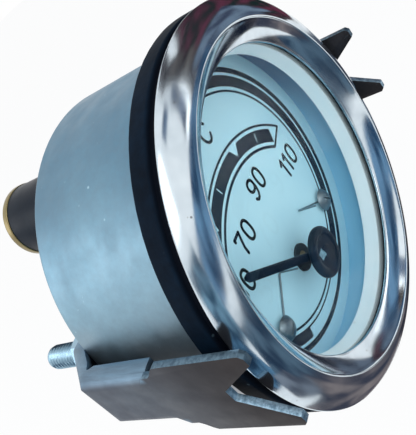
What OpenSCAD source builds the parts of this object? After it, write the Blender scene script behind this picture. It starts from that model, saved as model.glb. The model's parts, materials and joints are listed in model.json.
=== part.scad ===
// Round temperature gauge for a dashboard, with its mounting bracket.
// The dial faces -Y, dial-up is +Z and the studs point to +Y.
// The origin is on the gauge's axis, where the gasket meets the front of the panel.

/* [Can] */
// Outer radius of the can, for a 52 mm hole
case_r = 26; // [24:0.5:32]
// Depth of the can behind the front of the panel
case_depth = 22.7; // [21.7:0.1:30]
// Thickness of the can's sheet
case_wall = 0.5; // [0.4:0.05:0.7]
// Outer radius of the can's rear corner
case_corner = 1.8; // [1:0.1:2.4]
// Width of the can's front flange
flange_w = 2.3; // [2:0.1:3]

/* [Bezel] */
// Outer radius of the bezel beyond the can's flange
bezel_over = 1.2; // [1:0.1:2]
// How far the bezel's lip reaches inside the can's outer face
lip_in = 4; // [3.4:0.1:5.5]
// How far the bezel's crest lies inside the can's outer face
crest_in = 1.15; // [0.8:0.05:1.5]
// How far the crest stands in front of the lip
crest_rise = 2; // [1.6:0.1:2.6]
// Bulge of the outer band between crest and edge
band_bulge = 0.9; // [0.6:0.05:1]
// Thickness of the bezel's sheet
bezel_sheet = 0.45; // [0.35:0.05:0.55]

/* [Gasket and glass] */
// Thickness of the gasket
gasket_t = 4.3; // [3.6:0.1:5]
// Play between the gasket's bore and the can
gasket_play = 0.03; // [0.02:0.01:0.1]
// Width of the rubber between the can and the gasket's rim
gasket_w = 2.85; // [2.2:0.05:3]
// Width of the gasket's rear band, along the axis
gasket_band = 2.9; // [2:0.1:3.2]
// How much the gasket's front part is set in
gasket_step = 0.6; // [0.3:0.1:0.9]
// Thickness of the glass
glass_t = 2; // [1.6:0.1:2.2]
// Thickness of the seal in front of the glass
seal_t = 0.3; // [0.2:0.05:0.5]
// Width of the seal
seal_w = 1.5; // [1:0.1:1.8]

/* [Dial] */
// Distance from the rear of the glass to the dial
dial_gap = 5.7; // [5.3:0.1:7]
// Thickness of the dial
dial_t = 0.6; // [0.5:0.1:0.8]
// Play between the dial or the plates and the can
dial_play = 0.5; // [0.3:0.1:0.8]
// Depth of the spacer ring's inner wall behind the glass
rim_depth = 1.15; // [0.8:0.05:1.8]
// Thickness of the spacer ring's sheet
ring_sheet = 0.5; // [0.4:0.05:0.6]
// Distance of the pivot below the middle of the dial
pivot_drop = 11.3; // [10.6:0.1:11.6]
// Radius of the circle on which the dial screws lie
screw_ring_r = 17.7; // [17.2:0.1:18.2]
// Angle of the dial screws from the bottom of the dial
screw_angle = 48; // [46:1:51]
// Radius of the dial screws' heads
screw_head_r = 1.9; // [1.6:0.1:2.1]
// Height of the dial screws' heads
screw_head_h = 1.1; // [0.9:0.1:1.3]
// Radius of the dial screws' shanks
screw_r = 0.95; // [0.8:0.05:1.1]

/* [Pointer] */
// Half of the pointer's sweep
sweep_half = 50.5; // [46:0.5:52]
// Length of the pointer from its pivot
pointer_l = 19.8; // [17:0.1:20.5]
// Width of the pointer
pointer_w = 1.3; // [1:0.05:1.6]
// Thickness of the pointer
pointer_t = 0.4; // [0.3:0.05:0.5]
// Height of the pointer's rear face over the dial
pointer_lift = 3.05; // [2.9:0.05:3.15]
// Radius of the pointer's hub
hub_r = 4; // [3.4:0.1:4.4]
// Thickness of the pointer's hub
hub_t = 1.1; // [0.8:0.1:1.3]
// Radius of the pointer's shaft
shaft_r = 0.4; // [0.35:0.05:0.5]
// Radius of the stop wires
wire_r = 0.25; // [0.2:0.05:0.3]
// Radius of the upright pins at the stop wires' ends
pin_r = 0.3; // [0.25:0.05:0.4]
// Distance of the stop pins from the pivot
stop_r = 7.5; // [7:0.1:8.5]
// Play between the pointer and a stop pin
stop_play = 0.08; // [0.05:0.01:0.15]

/* [Movement] */
// Thickness of the base plate under the dial
base_t = 1; // [0.8:0.1:1.2]
// Half width of the coil former
former_half = 6; // [5.7:0.1:6.2]
// Thickness of the coil former's end walls
former_wall = 1.4; // [1.2:0.1:1.8]
// Radius of the coil former's nose
nose_r = 2.2; // [1.9:0.1:2.3]
// How far the nose stands in front of the dial
nose_proud = 0.25; // [0.1:0.05:0.5]
// Radius of the rotor magnet
rotor_r = 3.8; // [3.2:0.1:3.9]
// Free space round the rotor magnet
rotor_gap = 0.4; // [0.3:0.05:0.5]
// Thickness of a coil's winding
coil_t = 1.4; // [1:0.1:1.4]
// Half width of the gap between a coil's two halves
coil_gap = 2.4; // [2.35:0.05:2.6]
// Half width of a coil over both halves
coil_half = 5.4; // [5:0.1:5.5]
// Inner radius of the shield can
shield_r = 10; // [9.6:0.1:10.2]
// Thickness of the shield can's sheet
shield_wall = 0.6; // [0.4:0.1:0.7]
// Free space between the shield can and the rear of the case
shield_play = 0.95; // [0.6:0.05:2]
// Outer radius of the brass bearings
bearing_r = 1; // [0.9:0.05:1.2]
// Running clearance round the shaft
run_play = 0.03; // [0.02:0.01:0.06]

/* [Studs and nuts] */
// Distance of each mounting stud inside the can's outer face
stud_in = 4.4; // [4.3:0.1:5.6]
// Radius of the mounting studs, M4
stud_r = 1.95; // [1.8:0.05:2]
// Length of the mounting studs behind the can
stud_l = 15.5; // [14:0.5:24]
// Radius of the pillars that carry the movement
pillar_r = 2.5; // [2:0.1:2.8]
// Radius of the pillars' spigots
spigot_r = 1.2; // [1:0.1:1.4]
// Length of the studs' outer collars
collar_t = 2.5; // [2.5:0.1:3.2]
// Radius of the studs' outer collars
collar_r = 2.6; // [2.4:0.1:2.7]
// Width of the nuts across their flats
nut_af = 7; // [6.5:0.5:7]
// Thickness of the nuts
nut_t = 2.2; // [2:0.1:3]
// Radius of the washers
washer_r = 4.1; // [3.8:0.1:4.4]
// Thickness of the washers
washer_t = 0.3; // [0.3:0.1:0.8]
// Play between a stud and a hole or thread
stud_play = 0.05; // [0.03:0.01:0.1]

/* [Bracket] */
// Thickness of the bracket's sheet
sheet_t = 1; // [0.8:0.05:1.2]
// Play between the bezel's edge and the bracket's legs
leg_play = 1; // [0.8:0.1:2]
// How far the claws reach in front of the panel's plane
claw_reach = 8.5; // [4:0.1:9]
// Half width of the legs at the claws
leg_half = 6.5; // [6.3:0.1:7.5]
// Half width over the flanges
flange_half = 4.9; // [4.7:0.1:5.2]
// Height of the flanges over the leg's outer face
flange_h = 3; // [2.6:0.1:3.2]
// Height of the flanges over the outer face of the shoulders and the web
rear_flange_h = 2.6; // [2.2:0.1:2.7]
// Depth of the dip in the flanges at the shoulders
dip = 0.5; // [0.3:0.1:0.7]
// Distance of the flanges' front ends behind the panel's plane
flange_start = 7.6; // [7:0.1:9]
// Depth of the V notch
notch_depth = 6.2; // [5:0.1:7.5]
// Half width of the V notch at its mouth
notch_half = 4.85; // [4:0.05:5]
// Half width of the V notch at its blunt bottom
notch_floor = 0.95; // [0.4:0.05:1]
// Length of the slanted shoulder along the axis
shoulder_y = 5.8; // [5.4:0.1:6]
// Width of the slanted shoulder across the axis
shoulder_x = 6; // [5.6:0.1:6.2]
// Inner radius of the bends at the shoulders
bend_r = 1.2; // [0.8:0.1:1.4]
// Inner radius of the flanges' folds
fold_r = 0.9; // [0.6:0.1:1.2]
// Play of the bracket's holes round the studs
hole_play = 0.08; // [0.06:0.01:0.1]

/* [Lamp and terminals] */
// Distance of the lamp holder left of the axis
lamp_x = 7.1; // [5:0.1:9]
// Distance of the lamp holder above the axis
lamp_z = 16.6; // [15.8:0.1:17]
// Radius of the lamp socket's shell
socket_r = 5; // [4.7:0.1:5.2]
// Wall of the lamp socket's shell
socket_wall = 0.5; // [0.3:0.05:0.6]
// Wall of the black sleeve over the shell
sleeve_wall = 0.6; // [0.4:0.05:0.8]
// Length of the lamp holder behind the can
lamp_l = 12.1; // [10:0.1:14]
// Length of the brass rim at the lamp holder's end
lamp_rim = 1.2; // [0.8:0.1:1.6]
// Length of the bulb's glass
bulb_l = 9.5; // [8:0.1:11]
// Play between the lamp holder and its hole
lamp_play = 0.05; // [0.04:0.01:0.08]
// Distance of each terminal from the vertical middle plane
blade_x = 14.5; // [14.4:0.1:16]
// Distance of each terminal below the axis
blade_z = 13.5; // [13:0.1:14]
// Width of the terminal blades
blade_w = 6.3; // [4.8:0.1:6.3]
// Thickness of the terminal blades
blade_t = 0.8; // [0.6:0.1:0.8]
// Length of the terminal blades
blade_l = 7; // [6.5:0.1:9]
// Radius of the terminals' insulators
insulator_r = 3.4; // [3.2:0.1:3.6]
// Thickness of the terminals' insulators
insulator_t = 1; // [0.8:0.1:1.1]
// Radius of the terminals' rivets
rivet_r = 1.2; // [1:0.1:1.4]
// Radius of the lead wires
lead_r = 0.5; // [0.4:0.1:0.6]

/* [Hidden] */
$fn = 96;

// Margin by which a cutting tool passes a face
over = 1;

// Stack along the axis, from the panel's plane forwards and then from the lip backwards
bezel_rear = -gasket_t;
flange_rear = bezel_rear - bezel_sheet;
flange_front = flange_rear - case_wall;
edge_y = bezel_rear - 0.65;
lip_rear = bezel_rear - 0.15;
lip_front = lip_rear - 0.35;
crest_y = lip_front - crest_rise;
glass_front = lip_rear + seal_t;
glass_rear = glass_front + glass_t;
dial_front = glass_rear + dial_gap;
dial_rear = dial_front + dial_t;
base_rear = dial_rear + base_t;
case_inner_rear = case_depth - case_wall;

// Radii inside and outside the can
lip_r = case_r - lip_in;
crest_r = case_r - crest_in;
stud_x = case_r - stud_in;
case_inner_r = case_r - case_wall;
inside_r = case_inner_r - dial_play;
flange_r = case_r + flange_w;
bezel_r = flange_r + bezel_over;
rim_r = lip_r - 0.3;

// Pointer
pointer_rear = dial_front - pointer_lift;
pointer_front = pointer_rear - pointer_t;
hub_front = pointer_front - hub_t;
stop_angle = sweep_half + asin((pointer_w / 2 + pin_r + stop_play) / stop_r);

// Movement
coil_front = base_rear + 0.5;
former_front = coil_front + 2 * coil_t;
shield_rear = case_inner_rear - shield_play;
coil_rear = shield_rear - shield_wall - 0.2;
former_rear = coil_rear - 2 * coil_t;
former_mid = (former_front + former_rear) / 2;
rotor_l = former_rear - former_front - 2 * (former_wall + rotor_gap);
bearing_hole = shaft_r + run_play;

// Bracket
leg_out = bezel_r + leg_play + sheet_t;
leg_mid = leg_out - sheet_t / 2;
web_front = case_depth + collar_t;
web_mid = web_front + sheet_t / 2;
web_rear = web_front + sheet_t;
leg_rear = web_mid - shoulder_y;
bend_mid = bend_r + sheet_t / 2;
fold_out = fold_r + sheet_t;
shoulder_turn = atan2(shoulder_x, shoulder_y);

// Nuts
washer_rear = web_rear + washer_t;
nut_rear = washer_rear + nut_t;
stud_end = case_depth + stud_l;

// Lamp
lamp_end = case_depth + lamp_l;
rim_front = lamp_end - lamp_rim;
bulb_rear = rim_front - 0.4;
bulb_seat = case_depth - 1.2;

function unit(v) = v / norm(v);
function left_of(v) = [-v.y, v.x];
function turned(v, a) = [v.x * cos(a) - v.y * sin(a), v.x * sin(a) + v.y * cos(a)];
// Signed angle from direction u to direction w
function bend_angle(u, w) = atan2(u.x * w.y - u.y * w.x, u * w);

// Points beside a bent path, a distance to its left, with a round bend at each inner corner
function beside(path, r, side, steps = 6) = [
    for (i = [0 : len(path) - 1])
        if (i == 0)
            path[0] + left_of(unit(path[1] - path[0])) * side
        else if (i == len(path) - 1)
            path[i] + left_of(unit(path[i] - path[i - 1])) * side
        else
            let (
                u = unit(path[i] - path[i - 1]),
                w = unit(path[i + 1] - path[i]),
                a = bend_angle(u, w),
                s = sign(a),
                start = path[i] - u * r * tan(abs(a) / 2),
                centre = start + left_of(u) * s * r
            )
            for (k = [0 : steps])
                centre - turned(left_of(u), a * k / steps) * (s * r - side)
];
function reversed(list) = [for (i = [len(list) - 1 : -1 : 0]) list[i]];
// Outline of a bent sheet of even thickness
function sheet(path, r, t) = concat(beside(path, r, t / 2), reversed(beside(path, r, -t / 2)));
// Arc from a to b that bulges by h to the right of the way from a to b
function arc(a, b, h, steps = 12) =
    let (
        c = norm(b - a),
        r = (c * c / 4 + h * h) / (2 * h),
        half = asin(c / 2 / r),
        m = (a + b) / 2 + left_of(unit(b - a)) * (r - h)
    )
    [for (k = [0 : steps]) m + turned(a - m, 2 * half * k / steps)];

// Turns a profile of radius and depth round the gauge's axis
module turn() {
    rotate([-90, 0, 0])
        rotate_extrude()
            children();
}

// Stands a drawing of X and Z between two depths
module plate(y0, y1) {
    translate([0, y1, 0])
        rotate([90, 0, 0])
            linear_extrude(y1 - y0)
                children();
}

// Rod along Y between two depths
module rod(x, z, y0, y1, r) {
    translate([x, y0, z])
        rotate([-90, 0, 0])
            cylinder(h = y1 - y0, r = r);
}

module at_pivot() {
    translate([0, 0, -pivot_drop])
        children();
}

module both_sides() {
    children();
    mirror([1, 0, 0])
        children();
}

function screw_place() = [screw_ring_r * sin(screw_angle), -screw_ring_r * cos(screw_angle)];
function stop_place() = [stop_r * sin(stop_angle), stop_r * cos(stop_angle) - pivot_drop];

// Rolled sheet ring: lip, inner slope, crest, bulging band, and the edge curled behind the flange
module bezel() {
    inner_r = bezel_r - bezel_sheet;
    lip_back = lip_front + 0.02;
    color("silver")
        turn()
            polygon(concat(
                [[lip_r, lip_rear], [lip_r, lip_front + 0.08]],
                arc([lip_r + 0.1, lip_front], [crest_r, crest_y], -0.2, 6),
                arc([crest_r + 0.1, crest_y], [bezel_r, edge_y], band_bulge),
                [[bezel_r, edge_y + 0.15], [bezel_r - 0.15, bezel_rear - 0.15]],
                [[bezel_r - 0.5, bezel_rear], [case_r + 1, bezel_rear], [case_r + 1, flange_rear]],
                [[inner_r, flange_rear]],
                arc([inner_r, edge_y - 0.1], [crest_r + 0.1, crest_y + bezel_sheet + 0.1], -band_bulge),
                [[lip_r + 1.3, lip_back], [lip_r + 1.3, lip_rear]]
            ));
}

module glass() {
    color([0.8, 0.9, 0.95, 0.4])
        rod(0, 0, glass_front, glass_rear, inside_r);
}

module glass_seal() {
    color("dimgray")
        turn()
            translate([lip_r + 0.1, lip_rear])
                square([seal_w, seal_t]);
}

module gasket() {
    bore = case_r + gasket_play;
    rim = case_r + gasket_w;
    front = rim - gasket_step;
    color([0.1, 0.1, 0.11])
        turn()
            polygon([
                [bore, bezel_rear], [front, bezel_rear],
                [front, -gasket_band - 0.3], [rim, -gasket_band],
                [rim, -0.3], [rim - 0.3, 0], [bore, 0]
            ]);
}

// Drawn can with a flange in front and holes for the studs, the lamp and the terminals
module case() {
    inner_corner = case_corner - case_wall;
    color([0.7, 0.71, 0.72])
        difference() {
            turn()
                polygon(concat(
                    [[case_inner_r, flange_front], [flange_r, flange_front], [flange_r, flange_rear]],
                    [[case_r, flange_rear]],
                    [for (a = [0 : 10 : 90])
                        [case_r - case_corner + case_corner * cos(a),
                            case_depth - case_corner + case_corner * sin(a)]],
                    [[0, case_depth], [0, case_inner_rear]],
                    [for (a = [90 : -10 : 0])
                        [case_r - case_corner + inner_corner * cos(a),
                            case_depth - case_corner + inner_corner * sin(a)]]
                ));
            both_sides()
                rod(stud_x, 0, case_inner_rear - over, case_depth + over, stud_r + stud_play);
            both_sides()
                rod(blade_x, -blade_z, case_inner_rear - over, case_depth + over, rivet_r + 0.6);
            rod(-lamp_x, lamp_z, case_inner_rear - over, case_depth + over, socket_r + lamp_play);
        }
}

// Pressed ring between the glass and the dial, open behind its short inner wall
module spacer_ring() {
    outer = inside_r;
    color([0.93, 0.92, 0.84])
        turn()
            polygon([
                [lip_r, glass_rear], [outer, glass_rear], [outer, dial_front],
                [outer - ring_sheet, dial_front], [outer - ring_sheet, glass_rear + ring_sheet],
                [lip_r + ring_sheet, glass_rear + ring_sheet],
                [rim_r + ring_sheet, glass_rear + rim_depth], [rim_r, glass_rear + rim_depth]
            ]);
}

module dial() {
    color([0.95, 0.95, 0.9])
        difference() {
            rod(0, 0, dial_front, dial_rear, inside_r);
            rod(0, -pivot_drop, dial_front - over, dial_rear + over, nose_r + stud_play);
            both_sides()
                rod(screw_place().x, screw_place().y, dial_front - over, dial_rear + over,
                    screw_r + stud_play);
        }
}

// Domed screws that hold the dial and the shield can to the base plate
module dial_screws() {
    shank = base_rear + shield_wall - dial_front + wire_r;
    dome_r = (screw_head_r * screw_head_r + screw_head_h * screw_head_h) / 2 / screw_head_h;
    seat = dial_front - 2 * wire_r;
    color([0.5, 0.5, 0.48])
        both_sides()
            translate([screw_place().x, seat, screw_place().y])
                rotate([-90, 0, 0])
                    rotate_extrude()
                        polygon(concat(
                            [[0, shank + 0.4], [0, -screw_head_h]],
                            [for (k = [1 : 8])
                                let (a = k / 8 * asin(screw_head_r / dome_r))
                                [dome_r * sin(a), dome_r - screw_head_h - dome_r * cos(a)]],
                            [[screw_r, 0], [screw_r, shank + 0.4]]
                        ));
}

// Wire clamped beside a screw's shank, with an upright pin at its end where the pointer stops
module stop_wire() {
    a = screw_place();
    b = stop_place();
    way = unit(b - a);
    start = a + way * (screw_r + 0.1);
    y = dial_front - wire_r;
    translate([start.x, y, start.y])
        rotate([0, 90 - atan2(way.y, way.x), 0])
            cylinder(h = norm(b - start), r = wire_r, $fn = 24);
    rod(b.x, b.y, pointer_front - 0.1, dial_front, pin_r, $fn = 24);
}

module high_stop_wire() {
    color("dimgray")
        stop_wire();
}

module low_stop_wire() {
    color("dimgray")
        mirror([1, 0, 0])
            stop_wire();
}

// Flat pointer, at rest against the low stop
module pointer() {
    half = pointer_w / 2;
    tail = hub_r - 0.6;
    color([0.08, 0.08, 0.1])
        at_pivot()
            rotate([0, -sweep_half, 0])
                difference() {
                    union() {
                        plate(pointer_front, pointer_rear)
                            polygon([
                                [-half, -tail], [-half, pointer_l - 0.8], [-0.2, pointer_l],
                                [0.2, pointer_l], [half, pointer_l - 0.8], [half, -tail]
                            ]);
                        rod(0, 0, pointer_front, pointer_rear, 1.6);
                    }
                    rod(0, 0, pointer_front - over, pointer_rear + over, shaft_r);
                }
}

module pointer_hub() {
    edge = 0.25;
    color([0.08, 0.08, 0.1])
        at_pivot()
            turn()
                polygon([
                    [shaft_r, pointer_front], [hub_r, pointer_front],
                    [hub_r, hub_front + edge], [hub_r - edge, hub_front],
                    [0, hub_front], [0, hub_front + 0.4], [shaft_r, hub_front + 0.4]
                ]);
}

module pointer_shaft() {
    color("silver")
        rod(0, -pivot_drop, hub_front + 0.4, former_rear + 0.6, shaft_r);
}

module rotor_magnet() {
    color([0.25, 0.25, 0.28])
        difference() {
            rod(0, -pivot_drop, former_mid - rotor_l / 2, former_mid + rotor_l / 2, rotor_r);
            rod(0, -pivot_drop, former_mid - rotor_l, former_mid + rotor_l, shaft_r);
        }
}

module front_bearing() {
    color([0.8, 0.65, 0.3])
        difference() {
            rod(0, -pivot_drop, dial_front - nose_proud, former_front - 0.5, bearing_r);
            rod(0, -pivot_drop, dial_front - over, former_front, bearing_hole);
        }
}

// Screw with a blind bearing for the shaft's rear end
module rear_bearing() {
    color([0.8, 0.65, 0.3])
        difference() {
            rod(0, -pivot_drop, former_rear - 0.6, coil_rear, bearing_r);
            rod(0, -pivot_drop, former_rear - over, former_rear + 0.6 + run_play, bearing_hole);
        }
}

module former_block(y0, y1) {
    at_pivot()
        plate(y0, y1)
            square(2 * former_half, center = true);
}

module rotor_room() {
    half = rotor_l / 2 + rotor_gap;
    rod(0, -pivot_drop, former_mid - half, former_mid + half, rotor_r + rotor_gap);
}

// Front half of the coil former, whose nose shows through the dial
module coil_former_front() {
    color([0.12, 0.12, 0.12])
        difference() {
            union() {
                former_block(former_front, former_mid);
                rod(0, -pivot_drop, dial_front - nose_proud, former_front, nose_r);
            }
            rotor_room();
            rod(0, -pivot_drop, dial_front - over, former_front - 0.5, bearing_r);
            rod(0, -pivot_drop, dial_front, former_mid, bearing_hole + 0.2);
        }
}

module coil_former_rear() {
    color([0.12, 0.12, 0.12])
        difference() {
            union() {
                former_block(former_mid, former_rear);
                rod(0, -pivot_drop, former_rear, coil_rear, nose_r);
            }
            rotor_room();
            rod(0, -pivot_drop, former_rear - 0.6, coil_rear + over, bearing_r);
            rod(0, -pivot_drop, former_mid, former_rear, bearing_hole + 0.2);
        }
}

// Two bands of a coil, which pass the shaft on both sides
module coil(inner_front, inner_rear) {
    for (side = [-1, 1])
        translate([side > 0 ? coil_gap : -coil_half, 0, 0])
            rotate([90, 0, 90])
                linear_extrude(coil_half - coil_gap)
                    difference() {
                        translate([inner_front - coil_t, -former_half - coil_t])
                            square([inner_rear - inner_front + 2 * coil_t, 2 * (former_half + coil_t)]);
                        translate([inner_front, -former_half])
                            square([inner_rear - inner_front, 2 * former_half]);
                    }
}

module sine_coil() {
    color([0.72, 0.4, 0.2])
        at_pivot()
            coil(former_front, former_rear);
}

module cosine_coil() {
    color([0.6, 0.3, 0.15])
        at_pivot()
            rotate([0, 90, 0])
                coil(former_front - coil_t, former_rear + coil_t);
}

// Soft iron can round the coils, with two ears under the dial screws
module shield_can() {
    outer = shield_r + shield_wall;
    ear = screw_place();
    color([0.6, 0.6, 0.6])
        difference() {
            union() {
                rod(0, -pivot_drop, base_rear, shield_rear, outer);
                both_sides()
                    plate(base_rear, base_rear + shield_wall) {
                        translate(ear)
                            circle(2.2);
                        translate([0, ear.y - 2.2])
                            square([ear.x, 4.4]);
                    }
            }
            rod(0, -pivot_drop, base_rear - over, shield_rear - shield_wall, shield_r);
            both_sides()
                rod(ear.x, ear.y, base_rear - over, base_rear + over, screw_r + stud_play);
            translate([-outer - over, former_mid, -blade_z])
                rotate([0, 90, 0])
                    cylinder(h = 2 * (outer + over), r = lead_r + 0.3);
        }
}

module base_plate() {
    color([0.75, 0.76, 0.78])
        difference() {
            rod(0, 0, dial_rear, base_rear, inside_r);
            rod(0, -pivot_drop, dial_rear - over, base_rear + over, nose_r + stud_play);
            both_sides() {
                rod(screw_place().x, screw_place().y, dial_rear - over, base_rear + over,
                    screw_r + stud_play);
                rod(stud_x, 0, dial_rear - over, base_rear + over, spigot_r);
                rod(lamp_x, lamp_z, dial_rear - over, base_rear + over, socket_r + 1);
            }
        }
}

// Pillar inside the can, riveted to the base plate, and threaded stud behind it
module mounting_studs() {
    color([0.78, 0.8, 0.82])
        both_sides() {
            rod(stud_x, 0, dial_rear, base_rear, spigot_r);
            rod(stud_x, 0, base_rear, case_inner_rear, pillar_r);
            rod(stud_x, 0, case_inner_rear, stud_end - 0.6, stud_r);
            rod(stud_x, 0, case_depth, web_front, collar_r);
            translate([stud_x, stud_end - 0.6, 0])
                rotate([-90, 0, 0])
                    cylinder(h = 0.6, r1 = stud_r, r2 = stud_r - 0.5);
        }
}

// Claw end of a leg: a flat sheet with a V notch between two prongs
module claw() {
    tip = -claw_reach;
    corner = 0.5;
    translate([leg_out - sheet_t, 0, 0])
        rotate([90, 0, 90])
            linear_extrude(sheet_t)
                polygon([
                    [flange_start + 2, -flange_half + fold_out], [flange_start, -flange_half],
                    [flange_start - 1.2, -flange_half], [flange_start - 1.8, -flange_half - 0.4],
                    [flange_start - 2.6, -leg_half + 0.4], [flange_start - 3.2, -leg_half],
                    [tip + corner, -leg_half], [tip, -leg_half + corner],
                    [tip, -notch_half], [tip + notch_depth, -notch_floor],
                    [tip + notch_depth, notch_floor], [tip, notch_half],
                    [tip, leg_half - corner], [tip + corner, leg_half],
                    [flange_start - 3.2, leg_half], [flange_start - 2.6, leg_half - 0.4],
                    [flange_start - 1.8, flange_half + 0.4], [flange_start - 1.2, flange_half],
                    [flange_start, flange_half], [flange_start + 2, flange_half - fold_out]
                ]);
}

// Bar along an outer edge from a to b, with rounded long edges and mitred ends
module rounded_bar(a, b, mitre_a, mitre_b) {
    u = unit(b - a);
    depth = 8;
    middle = flange_half - fold_out;
    intersection() {
        translate([a.x, a.y, 0])
            rotate([0, 0, atan2(u.y, u.x)])
                translate([-depth, 0, 0])
                    rotate([90, 0, 90])
                        linear_extrude(norm(b - a) + 2 * depth)
                            polygon(concat(
                                [[depth, flange_half]],
                                [for (k = [0 : 10 : 90])
                                    [fold_out * (1 - sin(k)), middle + fold_out * cos(k)]],
                                [for (k = [90 : -10 : 0])
                                    [fold_out * (1 - sin(k)), -middle - fold_out * cos(k)]],
                                [[depth, -flange_half]]
                            ));
        translate([0, 0, -flange_half - over])
            linear_extrude(2 * (flange_half + over))
                polygon([a - mitre_a, b - mitre_b, b + 7 * mitre_b, a + 7 * mitre_a]);
    }
}

// Envelope of the channel, rounded along its outer edges
module channel_envelope() {
    half = sheet_t / 2;
    turn_out = half * tan(shoulder_turn / 2);
    turn_web = half * tan((90 - shoulder_turn) / 2);
    front = [leg_out, flange_start];
    leg_end = [leg_out, leg_rear + turn_out];
    web_end = [leg_mid - shoulder_x + turn_web, web_rear];
    inward = [-1, 0];
    bisect = unit(inward + left_of(unit(web_end - leg_end)));
    bisect_web = unit([0, -1] + left_of(unit(web_end - leg_end)));
    both_sides() {
        rounded_bar(front, leg_end, inward, bisect);
        rounded_bar(leg_end, web_end, bisect, bisect_web);
    }
    rounded_bar(web_end, [-web_end.x, web_end.y], bisect_web, [-bisect_web.x, bisect_web.y]);
}

// Bent sheet bracket: web behind the can, slanted shoulders, legs and claws, all but the claws
// with both edges folded towards the can
module bracket() {
    start = flange_start - over;
    way = [
        [leg_mid, start], [leg_mid, leg_rear], [leg_mid - shoulder_x, web_mid],
        [shoulder_x - leg_mid, web_mid], [-leg_mid, leg_rear], [-leg_mid, start]
    ];
    foot_x = leg_out - flange_h;
    foot_y = web_rear - rear_flange_h;
    slope = [-shoulder_x, shoulder_y] / norm([shoulder_x, shoulder_y]);
    on_slope = way[1] + left_of(slope) * (rear_flange_h - sheet_t / 2);
    at_leg = on_slope.y + (foot_x - on_slope.x) * slope.y / slope.x;
    at_web = on_slope.x + (foot_y - on_slope.y) * slope.x / slope.y;
    side = [
        [foot_x, start], [foot_x, at_leg - 1.2], [foot_x + dip, at_leg - 0.4],
        [foot_x + dip, at_leg], [foot_x - 0.6, at_leg - 0.6 * slope.y / slope.x], [at_web, foot_y]
    ];
    foot = concat(side, reversed([for (p = side) [-p.x, p.y]]));
    color([0.62, 0.6, 0.56])
        difference() {
            union() {
                intersection() {
                    translate([0, 0, -flange_half])
                        linear_extrude(2 * flange_half)
                            polygon(concat(beside(way, bend_mid, -sheet_t / 2), reversed(foot)));
                    channel_envelope();
                }
                both_sides()
                    claw();
            }
            translate([0, 0, sheet_t - flange_half])
                linear_extrude(2 * (flange_half - sheet_t))
                    polygon(beside(way, bend_mid, sheet_t / 2));
            both_sides()
                rod(stud_x, 0, web_front - over, web_rear + over, stud_r + hole_play);
        }
}

module stud_washers() {
    color([0.75, 0.75, 0.76])
        both_sides()
            difference() {
                rod(stud_x, 0, web_rear, washer_rear, washer_r);
                rod(stud_x, 0, web_rear - over, washer_rear + over, stud_r + hole_play);
            }
}

module nut() {
    color([0.72, 0.73, 0.75])
        difference() {
            translate([0, washer_rear, 0])
                rotate([-90, 0, 0])
                    cylinder(h = nut_t, r = nut_af / sqrt(3), $fn = 6);
            rod(0, 0, washer_rear - over, nut_rear + over, stud_r + stud_play);
        }
}

module stud_nut_left() {
    translate([-stud_x, 0, 0])
        nut();
}

module stud_nut_right() {
    translate([stud_x, 0, 0])
        nut();
}

module at_lamp() {
    translate([-lamp_x, 0, lamp_z])
        children();
}

// Brass shell that passes through the can's hole, with a thick rim at its far end
module lamp_socket() {
    color([0.75, 0.6, 0.3])
        at_lamp()
            turn()
                polygon([
                    [socket_r - socket_wall, bulb_seat], [socket_r, bulb_seat],
                    [socket_r, rim_front], [socket_r + sleeve_wall + 0.1, rim_front],
                    [socket_r + sleeve_wall + 0.1, lamp_end - 0.3],
                    [socket_r + sleeve_wall - 0.2, lamp_end],
                    [socket_r - socket_wall, lamp_end]
                ]);
}

module lamp_sleeve() {
    color([0.08, 0.08, 0.09])
        at_lamp()
            turn()
                polygon([
                    [socket_r, case_depth + 0.05],
                    [socket_r + sleeve_wall, case_depth + 0.05],
                    [socket_r + sleeve_wall, rim_front], [socket_r, rim_front]
                ]);
}

module lamp_insulator() {
    color([0.45, 0.3, 0.15])
        difference() {
            rod(-lamp_x, lamp_z, rim_front, lamp_end - 0.4, socket_r - socket_wall);
            rod(-lamp_x, lamp_z, rim_front - over, lamp_end, rivet_r);
        }
}

// Rivet that feeds the bulb, with a domed head behind the insulator
module lamp_contact() {
    head_r = 1.9;
    color([0.75, 0.6, 0.3])
        at_lamp()
            turn()
                polygon([
                    [0, bulb_rear], [rivet_r, bulb_rear], [rivet_r, lamp_end - 0.4],
                    [head_r, lamp_end - 0.4], [head_r, lamp_end], [head_r - 0.4, lamp_end + 0.4],
                    [head_r - 1, lamp_end + 0.6], [0, lamp_end + 0.6]
                ]);
}

module bulb_base() {
    color([0.7, 0.68, 0.6])
        rod(-lamp_x, lamp_z, bulb_seat, bulb_rear, socket_r - socket_wall);
}

module bulb_glass() {
    r = socket_r - socket_wall - 0.3;
    color([0.9, 0.9, 0.85, 0.5])
        at_lamp()
            turn()
                polygon(concat(
                    [[0, bulb_seat], [0, bulb_seat - bulb_l]],
                    [for (a = [80 : -10 : 0])
                        [r * cos(a), bulb_seat - bulb_l + r - r * sin(a)]],
                    [[r, bulb_seat]]
                ));
}

// Riveted blade on an L foot
module terminal_blades() {
    foot = case_depth + insulator_t;
    color([0.8, 0.68, 0.35])
        both_sides()
            translate([blade_x, 0, -blade_z]) {
                rod(0, 0, case_inner_rear - insulator_t - 0.5, foot, rivet_r);
                rod(0, 0, case_inner_rear - insulator_t - 0.5, case_inner_rear - insulator_t, 2.2);
                translate([-blade_w / 2, foot, -blade_w / 2])
                    cube([blade_w, blade_t, blade_w]);
                translate([-blade_w / 2, foot, -blade_w / 2])
                    cube([blade_w, blade_l, blade_t]);
            }
}

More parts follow.
